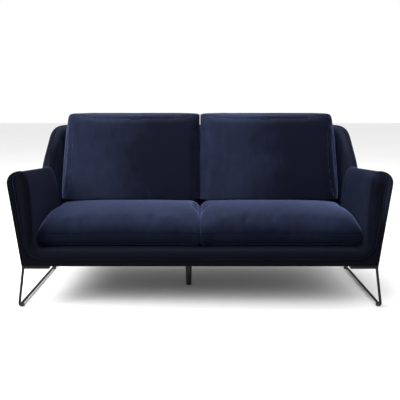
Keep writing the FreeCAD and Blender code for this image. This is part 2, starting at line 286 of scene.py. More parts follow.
def buildOuterWall():
    wall = slab("outer_wall", outerWall["columns"], outerWall["rows"], outerWallPlace,
                (outerWall["bevel"], 0.003))
    subdivided(wall)
    # an upright seam on each rear corner, where the side cover meets the back cover
    for side in (-1, 1):
        x, y = wallPoint(outerWall["seamRun"], 0.5, 0)
        lean = shell["splay"] * 0.5
        addSeam(wall, (side * x, y, 0.5), (side, -0.45, -lean), 0.0022, 0.003,
                lambda place, side=side: place.x * side > x - 0.09 and place.y > y - 0.08)
    return wall


# front face of the shell: a flat band up each arm that widens into the corners and a strip below
frontBand = {
    "armColumns": 26,
    "cornerColumns": 20,
    "middleColumns": 24,
    "rows": 4,
    "thickness": 0.030,
    "stripTop": 0.0290,          # seam above the underside, along the front
    "cornerHeight": 0.1170,      # where the seam starts to turn, above the underside
    "cornerRadius": 0.088,
    "groove": 0.009,             # how far the face turns in at the seam
    "bevel": 0.003,
}


# The seam's line seen from the front, from the arm top (0) through the corner to the middle (1).
def seamPoint(y, share):
    top = topLine(y)
    _, _, skin = edgeSection(y)
    stripTop = shell["bottom"] + frontBand["stripTop"]
    turnTop = shell["bottom"] + frontBand["cornerHeight"]
    radius = frontBand["cornerRadius"]
    if share <= 1:
        low = (turnTop - shell["bottom"]) / (top - shell["armRound"] - shell["bottom"]) * shell["kink"]
        z, inset, turn = outerProfile(y, top, mixed(1, low, share))
        inset += skinAt(skin, turn) * math.cos(turn)
        z -= skinAt(skin, turn) * math.sin(turn)
        return outerHalf(y, z, inset), z
    startX = outerHalf(y, turnTop, skin)
    centreX = startX - radius
    centreZ = stripTop + radius
    if share <= 2:
        turn = (share - 1) * math.pi / 2
        x = centreX + radius * math.cos(turn)
        z = centreZ - radius * math.sin(turn)
        return mixed(startX, x, smoothStep(0, 0.3, share - 1)), z
    return centreX * (3 - share), stripTop


# The shell's outer line seen from the front, matched to the seam's.
def outlinePoint(y, share):
    top = topLine(y)
    turnTop = shell["bottom"] + frontBand["cornerHeight"]
    if share <= 1:
        low = (turnTop - shell["bottom"]) / (top - shell["armRound"] - shell["bottom"]) * shell["kink"]
        z, inset, _ = outerProfile(y, top, mixed(1, low, share))
        return outerHalf(y, z, inset), z
    if share <= 1.5:
        z = mixed(turnTop, shell["bottom"], (share - 1) * 2)
        return outerHalf(y, z, 0), z
    cornerX = outerHalf(y, shell["bottom"], 0)
    innerX = outerHalf(y, turnTop, shell["skin"]) - frontBand["cornerRadius"]
    if share <= 2:
        return mixed(cornerX, innerX, (share - 1.5) * 2), shell["bottom"]
    return innerX * (3 - share), shell["bottom"]


def frontBandPlace(u, v, w):
    columns = frontBand["armColumns"], frontBand["cornerColumns"], frontBand["middleColumns"]
    index = round(u * 2 * sum(columns))
    mirrored = index > sum(columns)
    if mirrored:
        index = 2 * sum(columns) - index
    if index <= columns[0]:
        share = index / columns[0]
    elif index <= columns[0] + columns[1]:
        share = 1 + (index - columns[0]) / columns[1]
    else:
        share = 2 + (index - columns[0] - columns[1]) / columns[2]
    y = shell["front"]
    outer = Vector(outlinePoint(y, share))
    inner = Vector(seamPoint(y, share))
    spot = outer.lerp(inner, v)
    if w:
        y += frontBand["thickness"]
    elif v > 0.99:
        y += frontBand["groove"]
    return (-spot.x if mirrored else spot.x), y, spot.y


def buildFrontBand():
    columns = 2 * (frontBand["armColumns"] + frontBand["cornerColumns"] + frontBand["middleColumns"])
    band = slab("front_band", columns, frontBand["rows"], frontBandPlace, (frontBand["bevel"], 0.003))
    return softened(band)


# inner liner of the arms, the front border and the deck: a thick pad, U-shaped from the front
cradle = {
    "middleColumns": 22,
    "cornerColumns": 16,
    "sideColumns": 16,
    "topColumns": 16,
    "rows": 34,
    "rollTop": 0.0655,           # top of the front roll above the underside
    "deck": 0.0640,              # covered platform behind the roll, above the underside
    "armInset": 0.0545,          # the arm's inner face from its outside, at the seat
    "innerCorner": 0.040,
    "armRear": 0.062,
    "deckRear": 0.300,           # the deck runs in under the inner back
    "frontRound": 0.032,
    "rearRound": 0.045,
    "armPuff": 0.004,
}


# the liner's visible line seen from the front: share 0 at the middle, 1 to 2 the corner, 3 where
# the top starts to turn and 4 at the seam
def linerPoint(y, share):
    deckShare = smoothStep(shell["front"] + 0.022, shell["front"] + 0.050, y)
    floorZ = shell["bottom"] + mixed(cradle["rollTop"], cradle["deck"], deckShare)
    faceX = outerHalf(y, shell["seatPlane"], cradle["armInset"])
    radius = cradle["innerCorner"]
    top = topLine(min(y, shell["notchY"]))
    armRound, flat, _ = edgeSection(min(y, shell["notchY"]))
    depth = mixed(0.105, 0.140, smoothStep(shell["front"], shell["notchY"], y))
    seamX = outerHalf(y, top, armRound + flat)
    if share <= 1:
        return (faceX - radius) * share, floorZ
    if share <= 2:
        turn = (share - 1) * math.pi / 2
        return faceX - radius + radius * math.sin(turn), floorZ + radius * (1 - math.cos(turn))
    if share <= 3:
        z = mixed(floorZ + radius, top - depth, share - 2)
        puff = cradle["armPuff"] * math.sin(math.pi * (share - 2))
        return faceX - puff, z
    turn = (share - 3) * math.pi / 2
    return seamX - (seamX - faceX) * math.cos(turn), top - depth + depth * math.sin(turn)


# the same line on the hidden side, which starts at the seam
def linerBack(y, share):
    if share <= 2:
        return seamPoint(y, 3 - share)
    return seamPoint(y, 1 - (share - 2) / 2)


def cradlePlace(u, v, w):
    columns = cradle["middleColumns"], cradle["cornerColumns"], cradle["sideColumns"], cradle["topColumns"]
    index = round(u * 2 * sum(columns)) - sum(columns)
    mirrored = index < 0
    index = abs(index)
    share = 0
    for count in columns:
        share += min(1, index / count)
        index = max(0, index - count)
    armShare = smoothStep(1.1, 1.9, share)
    rear = mixed(cradle["deckRear"], cradle["armRear"], armShare)
    length = rear - shell["front"]
    spots = easedSpots(cradle["rows"], length, cradle["frontRound"], cradle["rearRound"])
    along = spots[round(v * cradle["rows"])]
    y = shell["front"] + along
    seen = Vector(linerPoint(y, share))
    back = Vector(linerBack(y, share))
    thick = (seen - back).length
    lost = 0
    for distance, radius in ((along, cradle["frontRound"]), (length - along, cradle["rearRound"])):
        radius = min(radius, thick * 0.8)
        if distance < radius:
            lost += radius - math.sqrt(max(0, radius ** 2 - (radius - distance) ** 2))
    spot = back.lerp(seen, w * (1 - min(0.9, lost / max(thick, 0.001))))
    if not w and v < 0.01:
        y += frontBand["groove"]
    return (-spot.x if mirrored else spot.x), y, spot.y


def buildCradle():
    columns = cradle["middleColumns"], cradle["cornerColumns"], cradle["sideColumns"], cradle["topColumns"]
    liner = slab("arm_and_border_liner", 2 * sum(columns), cradle["rows"], cradlePlace, (0, 0))
    return softened(liner)


# welt: the covered cord sewn into the seam, round the front opening and along the shell's edge
welt = {"radius": 0.0026, "steps": 30, "rimSteps": 150, "proud": 0.0012}


def buildWelt():
    spots = []
    for step in range(3 * welt["steps"] + 1):
        x, z = seamPoint(shell["front"], 3 * step / (3 * welt["steps"]))
        spots.append(Vector((x, shell["front"] + 0.0030, z)))
    spots += [Vector((-spot.x, spot.y, spot.z)) for spot in reversed(spots[:-1])]
    for step in range(1, welt["rimSteps"]):
        run = planLength * (1 - step / welt["rimSteps"])
        y = wallPoint(run, shell["levelZ"], 0)[1]
        z, inset, _ = outerProfile(y, topLine(y), 1)
        x, y = wallPoint(run, z, inset)
        spots.append(Vector((x, y, z + welt["proud"] - welt["radius"])))
    curve = bpy.data.curves.new("seam_welt_path", "CURVE")
    curve.dimensions = "3D"
    curve.bevel_depth = welt["radius"]
    curve.bevel_resolution = 2
    spline = curve.splines.new("POLY")
    spline.points.add(len(spots) - 1)
    for point, spot in zip(spline.points, spots):
        point.co = (*spot, 1)
    spline.use_cyclic_u = True
    path = bpy.data.objects.new("seam_welt_path", curve)
    bpy.context.scene.collection.objects.link(path)
    bpy.context.view_layer.update()
    mesh = bpy.data.meshes.new_from_object(path.evaluated_get(bpy.context.evaluated_depsgraph_get()))
    bpy.data.objects.remove(path)
    mesh.name = "seam_welt"
    piece = bpy.data.objects.new("seam_welt", mesh)
    bpy.context.scene.collection.objects.link(piece)
    for face in mesh.polygons:
        face.use_smooth = True
    return piece


# inner liner of the wings and the back, from behind one arm round to behind the other
innerBack = {
    "columns": 132,
    "rows": 26,
    "start": 0.440,              # along the plan's U, just behind the arm's padded end
    "inset": 0.060,
    "low": 0.2815,
    "topRound": 0.034,
    "lean": 0.357,
    "leanStart": 0.208,          # the leaning face's depth at the seat cushion's top
    "leanHeight": 0.443,
    "bevels": (0.003, 0.004),
}


def innerBackPlace(u, v, w):
    run = mixed(innerBack["start"], planLength - innerBack["start"], u)
    fromEnd = min(run, planLength - run)
    y = wallPoint(run, shell["levelZ"], 0)[1]
    top = topLine(y) - 0.001
    radius, flat, skin = edgeSection(y)
    topRound = innerBack["topRound"]
    kink = 0.6
    if v <= kink:
        z = mixed(innerBack["low"], top - topRound, v / kink)
        turn = 0
    else:
        turn = (v - kink) / (1 - kink) * math.pi / 2
        z = top - topRound * (1 - math.sin(turn))
    rearY = shell["rear"] + shell["backSplay"] * (z - shell["bottom"])
    leaning = rearY - innerBack["leanStart"] - innerBack["lean"] * (z - innerBack["leanHeight"])
    share = smoothStep(plan["side"] + 0.35 * plan["corner"], plan["side"] + 1.3 * plan["corner"], fromEnd)
    seam = radius + flat
    if w:
        inset = seam + (innerBack["inset"] - seam) * math.cos(turn)
        forward = max(0, leaning - innerBack["inset"]) * share * math.cos(turn)
    else:
        inset = mixed(skin, seam, math.sin(turn))
        forward = 0
        z -= 0.012 * math.sin(turn)
    x, y = wallPoint(run, z, inset)
    return x, y - forward, z


def buildInnerBack():
    liner = slab("wing_and_back_liner", innerBack["columns"], innerBack["rows"], innerBackPlace,
                 innerBack["bevels"], 2)
    return softened(liner)


# dust cloth: a thin sheet stapled under the frame, hanging a little between the rails
dustCloth = {
    "columns": 60,
    "rows": 32,
    "edge": 0.016,
    "sag": 0.003,
    "thickness": 0.0008,
    "flat": (1.57, 0.75),
    "area": 1.14,
}


def dustClothPlace(u, v):
    low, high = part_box("dust_cover")
    y = mixed(low.y, high.y, v)
    radius = shell["cornerRadius"] - dustCloth["edge"]
    half = outerHalf(y, shell["bottom"], dustCloth["edge"])
    into = y - (high.y - radius)
    if into > 0:
        half -= radius - math.sqrt(max(0, radius ** 2 - into ** 2))
    across = 2 * u - 1
    hang = dustCloth["sag"] * (1 - across ** 4) * math.sin(math.pi * v)
    return half * across, y, (low.z + high.z) / 2 - hang


def buildDustCloth():
    bm = bmesh.new()
    bmesh.ops.create_grid(bm, x_segments=dustCloth["columns"], y_segments=dustCloth["rows"], size=0.5)
    for vert in bm.verts:
        vert.co = Vector(dustClothPlace(vert.co.x + 0.5, vert.co.y + 0.5))
    bmesh.ops.recalc_face_normals(bm, faces=bm.faces[:])
    cloth = finished("dust_cloth", bm)
    thickness = cloth.modifiers.new("cloth thickness", "SOLIDIFY")
    thickness.thickness = dustCloth["thickness"]
    return cloth


# loose seat cushions: a crowned block that cloth pressure then swells
seatCushion = {
    "side": -0.022,              # the sides start too wide, because swelling pulls them in
    "gap": 0.004,
    "armGap": 0.0560,            # from the arm's outside to the cushion's side
    "low": 0.2835,
    "thick": 0.150,
    "outerWall": 0.082,          # height of the side before the crown begins
    "outerReach": 0.330,
    "frontWall": 0.074,
    "frontReach": 0.230,
    "innerDrop": 0.030,
    "innerReach": 0.240,
    "rearDrop": 0.030,
    "rearReach": 0.180,
    "voxel": 0.0085,
    "pressure": 4.0,
    "cap": 0.022,
    "relax": 4,                  # rounds of smoothing after the swelling
    "bevels": (0.016, 0.010),
    "seam": 0.344,               # height of the seam round the front and sides
    "seamDepth": 0.0034,
    "seamWidth": 0.006,
    "crown": 0.470,              # no point is higher in front of the back cushions
    "underBack": 0.434,          # nor than this under them
    "easing": 0.012,             # depth over which the crown meets that limit
    "rearLimit": 0.138,
    "middleGap": 0.0015,
    "fill": 0.75,
}
# loose back cushions: square box cushions that lean on the back
backCushion = {
    "gap": 0.004,
    "width": 0.724,
    "low": 0.375,
    "high": 0.882,
    "front": 0.008,
    "thick": 0.190,
    "lean": 0.357,
    "round": 0.024,
    "flare": 0.022,              # how much further the outer side reaches at the bottom than at the top
    "voxel": 0.0085,
    "pressure": 1.7,
    "cap": 0.014,
    "relax": 14,
    "seamDepth": 0.008,
    "rest": 0.4370,              # height at which it is cut flat, where it stands on the seat
    "middleGap": 0.0015,
    "fill": 0.7,
}


# Quarter ellipse from 0 at an edge to 1 at reach away from it.
def dome(distance, reach):
    short = max(0, 1 - distance / reach)
    return math.sqrt(max(0, 1 - short * short))


def seatPlace(u, v, w):
    gap = seatCushion["gap"]
    low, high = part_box("seat_cushion_cover_right")
    y = mixed(low.y + gap, high.y - gap, v)
    innerX = low.x + seatCushion["side"]
    outerX = outerHalf(y, shell["seatPlane"], seatCushion["armGap"] + seatCushion["side"])
    x = mixed(innerX, outerX, u)
    z = seatCushion["low"]
    if w:
        thick = seatCushion["thick"]
        outer = dome(outerX - x, seatCushion["outerReach"])
        front = dome(y - low.y - gap, seatCushion["frontReach"])
        inner = 1 - seatCushion["innerDrop"] / thick * (1 - dome(x - innerX, seatCushion["innerReach"]))
        rear = 1 - seatCushion["rearDrop"] / thick * (1 - dome(high.y - gap - y, seatCushion["rearReach"]))
        outerShare = mixed(seatCushion["outerWall"] / thick, 1, outer)
        frontShare = mixed(seatCushion["frontWall"] / thick, 1, front)
        z += thick * min(outerShare, 1) * frontShare * inner * rear
    return x, y, z


def buildSeatBlock(name):
    return slab(name, 40, 30, seatPlace, seatCushion["bevels"], 3)


def buildBackBlock(name):
    size = Vector((backCushion["width"], backCushion["thick"], backCushion["high"] - backCushion["low"]))
    gap = backCushion["gap"]
    bm = bmesh.new()
    bmesh.ops.create_cube(bm, size=1)
    bmesh.ops.scale(bm, verts=bm.verts[:], vec=(size.x, size.y - 2 * gap, size.z))
    bmesh.ops.bevel(bm, geom=bm.edges[:], offset=backCushion["round"], segments=4, profile=0.5,
                    affect="EDGES", material=-1)
    low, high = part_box("back_cushion_cover_right")
    bmesh.ops.translate(bm, verts=bm.verts[:], vec=((low.x + high.x) / 2, size.y / 2, size.z / 2))
    for vert in bm.verts:
        # the top is square to the lean, so it falls towards the rear
        rise = vert.co.z / size.z
        outward = max(0, vert.co.x - low.x) / size.x
        vert.co.x += outward * backCushion["flare"] * (0.6 - rise)
        vert.co.z -= 0.32 * max(0, vert.co.y) * rise
        vert.co.z += backCushion["low"]
        vert.co.y += backCushion["front"] + backCushion["lean"] * (vert.co.z - backCushion["rest"])
    bmesh.ops.recalc_face_normals(bm, faces=bm.faces[:])
    return finished(name, bm)


def mirrored(piece, name):
    bm = bmesh.new()
    bm.from_mesh(piece.data)
    bmesh.ops.scale(bm, verts=bm.verts[:], vec=(-1, 1, 1))
    bmesh.ops.reverse_faces(bm, faces=bm.faces[:])
    return finished(name, bm)


def relaxed(piece, times):
    relax = piece.modifiers.new("relax", "SMOOTH")
    relax.factor = 0.5
    relax.iterations = times
    applied(piece, relax)


def remeshed(piece, voxel):
    remesh = piece.modifiers.new("remesh", "REMESH")
    remesh.mode = "VOXEL"
    remesh.voxel_size = voxel
    remesh.use_smooth_shade = True
    applied(piece, remesh)
    relaxed(piece, 5)


inflation = {"frames": 20}
coverCloth = {
    "quality": 5,
    "mass": 0.35,
    "tension_stiffness": 18,
    "compression_stiffness": 12,
    "shear_stiffness": 8,
    "bending_stiffness": 1.2,
}


def addCloth(piece, pressure):
    cloth = piece.modifiers.new("cloth", "CLOTH")
    cloth.settings.use_pressure = True
    cloth.settings.uniform_pressure_force = pressure
    for field, value in coverCloth.items():
        setattr(cloth.settings, field, value)
    cloth.settings.effector_weights.gravity = 0
    cloth.collision_settings.use_collision = False
    cloth.point_cache.frame_start = 1
    cloth.point_cache.frame_end = inflation["frames"]


# All the covers swell together, and no point moves further than its cushion's cap.
def inflate(pieces):
    scene = bpy.context.scene
    starts = {}
    for piece, settings in pieces:
        starts[piece] = [vert.co.copy() for vert in piece.data.vertices]
        addCloth(piece, settings["pressure"])
    for step in range(1, inflation["frames"] + 1):
        scene.frame_set(step)
    graph = bpy.context.evaluated_depsgraph_get()
    for piece, settings in pieces:
        ends = [vert.co.copy() for vert in piece.evaluated_get(graph).data.vertices]
        largest = 0
        moves = []
        for start, end in zip(starts[piece], ends):
            move = end - start
            largest = max(largest, move.length)
            if move.length > settings["cap"]:
                move = move.normalized() * settings["cap"]
            moves.append(start + move)
        piece.modifiers.remove(piece.modifiers["cloth"])
        for vert, place in zip(piece.data.vertices, moves):
            vert.co = place
        print(piece.name, "swelled by up to", round(largest, 4))
        relaxed(piece, settings["relax"])
    scene.frame_set(1)


# The seat lies flat on the deck, dips under the back cushion and stays on its own side of the gaps.
def settleSeat(piece):
    side = -1 if piece.name.endswith("left") else 1
    for vert in piece.data.vertices:
        place = vert.co
        place.z = max(place.z, seatCushion["low"])
        roof = mixed(seatCushion["crown"], seatCushion["underBack"], smoothStep(-0.120, 0.004, place.y))
        eased = roof - seatCushion["easing"]
        if place.z > eased:
            place.z = min(roof, mixed(eased, place.z, 0.5))
        place.y = min(seatCushion["rearLimit"], place.y)
        across = max(seatCushion["middleGap"], place.x * side)
        place.x = side * min(across, outerHalf(place.y, shell["seatPlane"], seatCushion["armGap"]))


# The back cushion stands flat on the seat and leans against the inner back.
def settleBack(piece):
    side = -1 if piece.name.endswith("left") else 1
    bm = bmesh.new()
    bm.from_mesh(piece.data)
    bmesh.ops.bisect_plane(bm, geom=[*bm.verts, *bm.edges, *bm.faces], dist=0.00005, clear_inner=True,
                           plane_co=(0, 0, backCushion["rest"]), plane_no=(0, 0, 1))
    rim = [edge for edge in bm.edges if edge.is_boundary]
    base = bmesh.ops.holes_fill(bm, edges=rim)["faces"]
    bmesh.ops.triangulate(bm, faces=base)
    for vert in bm.verts:
        vert.co.x = side * max(backCushion["middleGap"], vert.co.x * side)
    bmesh.ops.recalc_face_normals(bm, faces=bm.faces[:])
    bm.to_mesh(piece.data)
    bm.free()


# zips: a tape laid on the cushion's rear face with a raised coil along its middle and a puller at one end
zipTape = {
    "columns": 150,
    "rows": 8,
    "lift": 0.0006,
    "coil": 0.0016,
    "thickness": 0.001,
    "rayStart": 0.1,             # how far behind the zip the rays to the cushion start
    "puller": (0.012, 0.003, 0.006),
    "pullerIn": 0.01,            # from the zip's end
    "pullerOut": 0.0035,
}


def buildZip(node, cushion):
    low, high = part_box(node)
    tree = BVHTree.FromObject(cushion, bpy.context.evaluated_depsgraph_get())
    bm = bmesh.new()
    bmesh.ops.create_grid(bm, x_segments=zipTape["columns"], y_segments=zipTape["rows"], size=0.5)
    for vert in bm.verts:
        u, v = vert.co.x + 0.5, vert.co.y + 0.5
        start = Vector((mixed(low.x, high.x, u), high.y + zipTape["rayStart"], mixed(low.z, high.z, v)))
        spot = tree.ray_cast(start, Vector((0, -1, 0)))[0] or start
        tooth = round(u * zipTape["columns"]) % 2
        rise = zipTape["coil"] * (1 - 0.4 * tooth) if abs(v - 0.5) < 0.1 else 0
        vert.co = spot + Vector((0, zipTape["lift"] + rise, 0))
    pull = bmesh.ops.create_cube(bm, size=1)["verts"]
    bmesh.ops.scale(bm, verts=pull, vec=zipTape["puller"])
    start = Vector((high.x - zipTape["pullerIn"], high.y + zipTape["rayStart"], (low.z + high.z) / 2))
    end = tree.ray_cast(start, Vector((0, -1, 0)))[0]
    bmesh.ops.translate(bm, verts=pull, vec=end + Vector((0, zipTape["pullerOut"], 0)))
    bmesh.ops.bevel(bm, geom=[edge for edge in bm.edges if edge.verts[0] in pull and edge.verts[1] in pull],
                    offset=0.0008, segments=2, profile=0.5, affect="EDGES", material=-1)
    tape = finished(node.replace("zip", "zip_tape"), bm)
    depth = tape.modifiers.new("tape thickness", "SOLIDIFY")
    depth.thickness = zipTape["thickness"]
    depth.offset = 0
    return tape


# Painted light and shade, per vertex: 1 where the piece is painted lit, 0 where it is painted in shade.
def paintLightAndShade(piece, brush):
    layer = piece.data.attributes.new("brush", "FLOAT", "POINT")
    for index, vert in enumerate(piece.data.vertices):
        layer.data[index].value = brush(vert.co)


# node groups
def newGroup(name, inputs, outputs):
    group = bpy.data.node_groups.new(name, "ShaderNodeTree")
    for label, kind, value in inputs:
        socket = group.interface.new_socket(name=label, in_out="INPUT", socket_type="NodeSocket" + kind)
        socket.default_value = value
    for label, kind in outputs:
        group.interface.new_socket(name=label, in_out="OUTPUT", socket_type="NodeSocket" + kind)
    return group, group.nodes.new("NodeGroupInput"), group.nodes.new("NodeGroupOutput")


def addNode(tree, kind, values=None, **fields):
    node = tree.nodes.new("ShaderNode" + kind)
    for field, value in fields.items():
        setattr(node, field, value)
    for socket, value in (values or {}).items():
        node.inputs[socket].default_value = value
    return node


def addNoise(tree, vector, scale, detail=3, roughness=0.55, stretch=None):
    if stretch:
        mapping = addNode(tree, "Mapping", {"Scale": stretch})
        tree.links.new(vector, mapping.inputs["Vector"])
        vector = mapping.outputs["Vector"]
    node = addNode(tree, "TexNoise", {"Detail": detail, "Roughness": roughness})
    tree.links.new(vector, node.inputs["Vector"])
    if isinstance(scale, (int, float)):
        node.inputs["Scale"].default_value = scale
    else:
        tree.links.new(scale, node.inputs["Scale"])
    return node.outputs["Fac"]


def addRange(tree, value, low, high, toLow=0, toHigh=1):
    node = addNode(tree, "MapRange", {"From Min": low, "From Max": high, "To Min": toLow, "To Max": toHigh})
    tree.links.new(value, node.inputs["Value"])
    return node.outputs["Result"]


def addMath(tree, operation, first, second):
    node = addNode(tree, "Math", operation=operation)
    for socket, value in zip(node.inputs, (first, second)):
        if isinstance(value, (int, float)):
            socket.default_value = value
        else:
            tree.links.new(value, socket)
    return node.outputs[0]


def addMix(tree, share, first, second):
    node = addNode(tree, "Mix", data_type="RGBA")
    for socket, value in ((node.inputs[0], share), (node.inputs[6], first), (node.inputs[7], second)):
        if hasattr(value, "links"):
            tree.links.new(value, socket)
        else:
            socket.default_value = value
    return node.outputs[2]


# velvet: pile that lies one way in brushed patches, with a fine nap and a few rubbed places, plus painted
# light and shade read from each piece's per-vertex values
def buildPileGroup():
    group, start, end = newGroup("velvetPile", [
        ("Deep", "Color", (0.01, 0.01, 0.03, 1)),
        ("Raised", "Color", (0.03, 0.03, 0.08, 1)),
        ("Brushed", "Float", 0.5),
        ("Brush", "Float", 0.5),
        ("Nap", "Float", 900.0),
    ], [("Color", "Color"), ("Roughness", "Float"), ("Height", "Float")])
    place = addNode(group, "TexCoord").outputs["Object"]
    patches = addNoise(group, place, 3.2, 3, 0.5, (1, 1, 1.3))
    streaks = addNoise(group, place, 26, 4, 0.6, (1.4, 1, 0.5))
    nap = addNoise(group, place, start.outputs["Nap"], 2, 0.6)
    brushed = addRange(group, patches, 0.36, 0.66)
    brushed = addMath(group, "MULTIPLY", brushed, start.outputs["Brushed"])
    streaked = addRange(group, streaks, 0.35, 0.7, 0, 0.20)
    share = addMath(group, "ADD", brushed, streaked)
    # painted light and shade: each piece's per-vertex values lift or darken the colour here
    share = addMath(group, "ADD", share, addMath(group, "SUBTRACT", start.outputs["Brush"], 0.5))
    naps = addRange(group, nap, 0.3, 0.7, -0.16, 0.16)
    share = addMath(group, "ADD", share, naps)
    clamped = addNode(group, "Clamp")
    group.links.new(share, clamped.inputs[0])
    color = addMix(group, clamped.outputs[0], start.outputs["Deep"], start.outputs["Raised"])
    group.links.new(color, end.inputs["Color"])
    group.links.new(addRange(group, share, 0, 1, 0.88, 0.68), end.inputs["Roughness"])
    high = addMath(group, "MULTIPLY", streaks, 0.6)
    group.links.new(addMath(group, "ADD", nap, high), end.inputs["Height"])
    return group


def newMaterial(name):
    material = bpy.data.materials.new(name)
    material.use_nodes = True
    tree = material.node_tree
    return material, tree, tree.nodes["Principled BSDF"]


def placeGroup(tree, group, values):
    node = tree.nodes.new("ShaderNodeGroup")
    node.node_tree = group
    for socket, value in values.items():
        node.inputs[socket].default_value = value
    return node


def addBump(tree, shader, height, distance, strength):
    bump = addNode(tree, "Bump", {"Strength": strength, "Distance": distance})
    tree.links.new(height, bump.inputs["Height"])
    tree.links.new(bump.outputs["Normal"], shader.inputs["Normal"])


pileGroup = buildPileGroup()


def buildVelvet(name, deep, raised, brushed, sheen, tint):
    material, tree, shader = newMaterial(name)
    pile = placeGroup(tree, pileGroup, {"Deep": deep, "Raised": raised, "Brushed": brushed})
    # the per-vertex painted light and shade feeds the pile's colour
    brush = addNode(tree, "Attribute", attribute_name="brush")
    tree.links.new(brush.outputs["Fac"], pile.inputs["Brush"])
    tree.links.new(pile.outputs["Color"], shader.inputs["Base Color"])
    tree.links.new(pile.outputs["Roughness"], shader.inputs["Roughness"])
    addBump(tree, shader, pile.outputs["Height"], 0.0009, 0.6)
    shader.inputs["Specular IOR Level"].default_value = 0.05
    shader.inputs["Sheen Weight"].default_value = sheen
    shader.inputs["Sheen Roughness"].default_value = 0.33
    shader.inputs["Sheen Tint"].default_value = tint
    return material


# wood: long grain lines with darker pores
def buildGrainGroup():
    group, start, end = newGroup("woodGrain", [
        ("Dark", "Color", (0.3, 0.2, 0.1, 1)),
        ("Light", "Color", (0.5, 0.4, 0.2, 1)),
        ("Grain", "Float", 9.0),
    ], [("Color", "Color"), ("Roughness", "Float"), ("Height", "Float")])
    place = addNode(group, "TexCoord").outputs["Object"]
    lines = addNoise(group, place, start.outputs["Grain"], 6, 0.65, (1, 12, 9))
    pores = addNoise(group, place, 160, 2, 0.5, (0.12, 1, 1))
    share = addRange(group, lines, 0.3, 0.7)
    color = addMix(group, share, start.outputs["Dark"], start.outputs["Light"])
    pored = addMix(group, addRange(group, pores, 0.58, 0.66, 0, 0.6), color, start.outputs["Dark"])
    group.links.new(pored, end.inputs["Color"])
    group.links.new(addRange(group, lines, 0.3, 0.7, 0.62, 0.45), end.inputs["Roughness"])
    group.links.new(addMath(group, "SUBTRACT", lines, addMath(group, "MULTIPLY", pores, 0.5)),
                    end.inputs["Height"])
    return group


# woven goods: two crossed sets of threads with uneven dye
def buildWeaveGroup():
    group, start, end = newGroup("crossedThreads", [
        ("Dark", "Color", (0.01, 0.01, 0.01, 1)),
        ("Light", "Color", (0.05, 0.05, 0.05, 1)),
        ("Threads", "Float", 400.0),
    ], [("Color", "Color"), ("Roughness", "Float"), ("Height", "Float")])
    place = addNode(group, "TexCoord").outputs["Object"]
    waves = []
    for direction in ("X", "Y"):
        wave = addNode(group, "TexWave", {"Distortion": 0.6, "Detail": 1}, bands_direction=direction)
        group.links.new(place, wave.inputs["Vector"])
        group.links.new(start.outputs["Threads"], wave.inputs["Scale"])
        waves.append(wave.outputs["Fac"])
    weave = addMath(group, "MAXIMUM", *waves)
    dye = addNoise(group, place, 14, 4, 0.6)
    share = addMath(group, "MULTIPLY", weave, addRange(group, dye, 0.3, 0.7, 0.6, 1))
    color = addMix(group, share, start.outputs["Dark"], start.outputs["Light"])
    group.links.new(color, end.inputs["Color"])
    group.links.new(addRange(group, weave, 0, 1, 0.95, 0.8), end.inputs["Roughness"])
    group.links.new(weave, end.inputs["Height"])
    return group


# coated or moulded surfaces: faint orange peel, dust in broad patches and a few rubbed spots
def buildCoatGroup():
    group, start, end = newGroup("evenCoat", [
        ("Main", "Color", (0.1, 0.1, 0.1, 1)),
        ("Rubbed", "Color", (0.2, 0.2, 0.2, 1)),
        ("Peel", "Float", 260.0),
        ("Gloss", "Float", 0.5),
    ], [("Color", "Color"), ("Roughness", "Float"), ("Height", "Float")])
    place = addNode(group, "TexCoord").outputs["Object"]
    patches = addNoise(group, place, 22, 5, 0.65)
    peel = addNoise(group, place, start.outputs["Peel"], 2, 0.5)
    rubbed = addRange(group, patches, 0.56, 0.74)
    color = addMix(group, rubbed, start.outputs["Main"], start.outputs["Rubbed"])
    group.links.new(color, end.inputs["Color"])
    wear = addMath(group, "MULTIPLY", addRange(group, patches, 0.3, 0.7, -0.5, 0.5), 0.22)
    group.links.new(addMath(group, "SUBTRACT", start.outputs["Gloss"], wear), end.inputs["Roughness"])
    group.links.new(peel, end.inputs["Height"])
    return group


grainGroup = buildGrainGroup()
weaveGroup = buildWeaveGroup()
coatGroup = buildCoatGroup()


def buildFinish(name, group, values, depth, strength=0.5, metallic=0.0, gloss=0.4):
    material, tree, shader = newMaterial(name)
    made = placeGroup(tree, group, values)
    tree.links.new(made.outputs["Color"], shader.inputs["Base Color"])
    tree.links.new(made.outputs["Roughness"], shader.inputs["Roughness"])
    addBump(tree, shader, made.outputs["Height"], depth, strength)
    shader.inputs["Metallic"].default_value = metallic
    shader.inputs["Specular IOR Level"].default_value = gloss
    return material


def buildWood(name, dark, light, grain):
    return buildFinish(name, grainGroup, {"Dark": dark, "Light": light, "Grain": grain}, 0.0006)


def buildWoven(name, dark, light, threads):
    values = {"Dark": dark, "Light": light, "Threads": threads}
    return buildFinish(name, weaveGroup, values, 0.0005, 0.6, 0, 0.2)


def buildCoat(name, main, rubbed, peel, roughness, metallic=0.0, gloss=0.4):
    values = {"Main": main, "Rubbed": rubbed, "Peel": peel, "Gloss": roughness}
    return buildFinish(name, coatGroup, values, 0.0002, 0.35, metallic, gloss)


